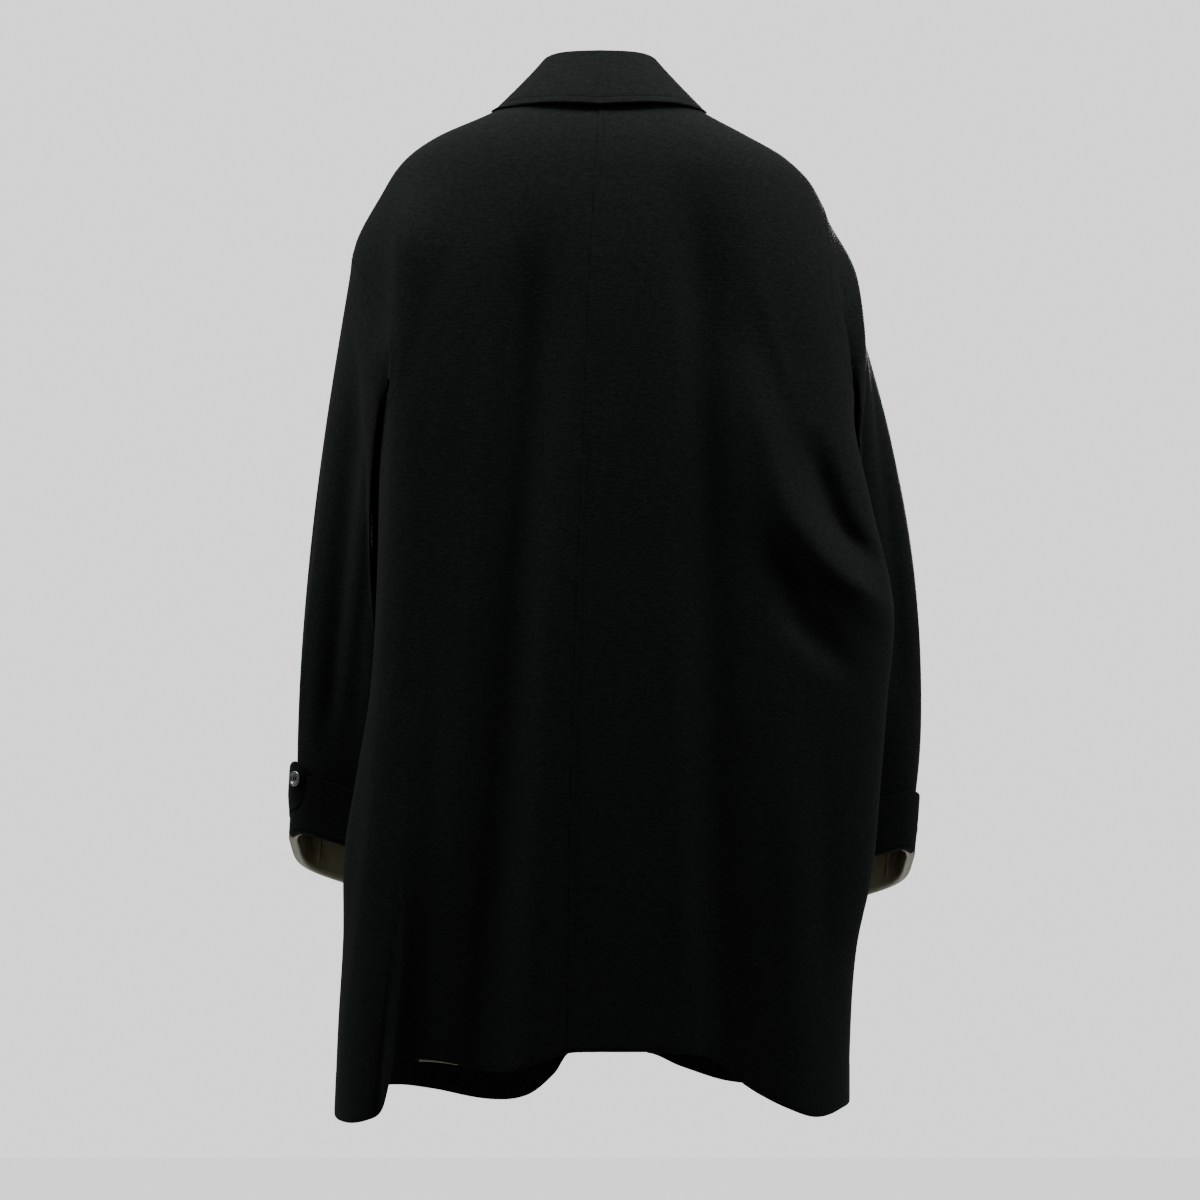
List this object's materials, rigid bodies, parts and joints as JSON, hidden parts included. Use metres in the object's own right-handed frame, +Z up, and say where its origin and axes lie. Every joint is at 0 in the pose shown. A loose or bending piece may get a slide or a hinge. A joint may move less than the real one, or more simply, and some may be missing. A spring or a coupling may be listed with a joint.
{
  "type": "wool coat",
  "caption": "Thigh-length open-front wool coat, filled out and hollow, with a turned-down collar, a seamed back, full-length sleeves and turn-up cuffs with buttoned tabs.",
  "frame": {"origin": "on the centre plane, level with the back of the neck seam, above the middle of the shoulders", "axes": "+Z up, -Y out of the open front, +X to the wearer's left; right-handed"},
  "size_m": [0.6379, 0.3001, 1.0609],
  "materials": {
    "wool": "dense dark wool melton, matt with a short nap",
    "lining": "smooth olive satin lining",
    "button": "polished dark horn-like resin"
  },
  "bodies": {
    "root": {"back_left": "wool", "front_left": "wool", "sleeve_upper_left": "wool", "sleeve_under_left": "wool", "cuff_left": "wool", "cuff_tab_left": "wool", "cuff_lining_left": "lining", "cuff_button_left": "button", "back_right": "wool", "front_right": "wool", "sleeve_upper_right": "wool", "sleeve_under_right": "wool", "cuff_right": "wool", "cuff_tab_right": "wool", "cuff_lining_right": "lining", "cuff_button_right": "button", "collar_stand": "wool", "collar_fall": "wool", "hem_lining_left": "lining", "front_button_1": "button", "front_button_2": "button", "front_button_3": "button", "front_button_4": "button"}
  },
  "joints": []
}
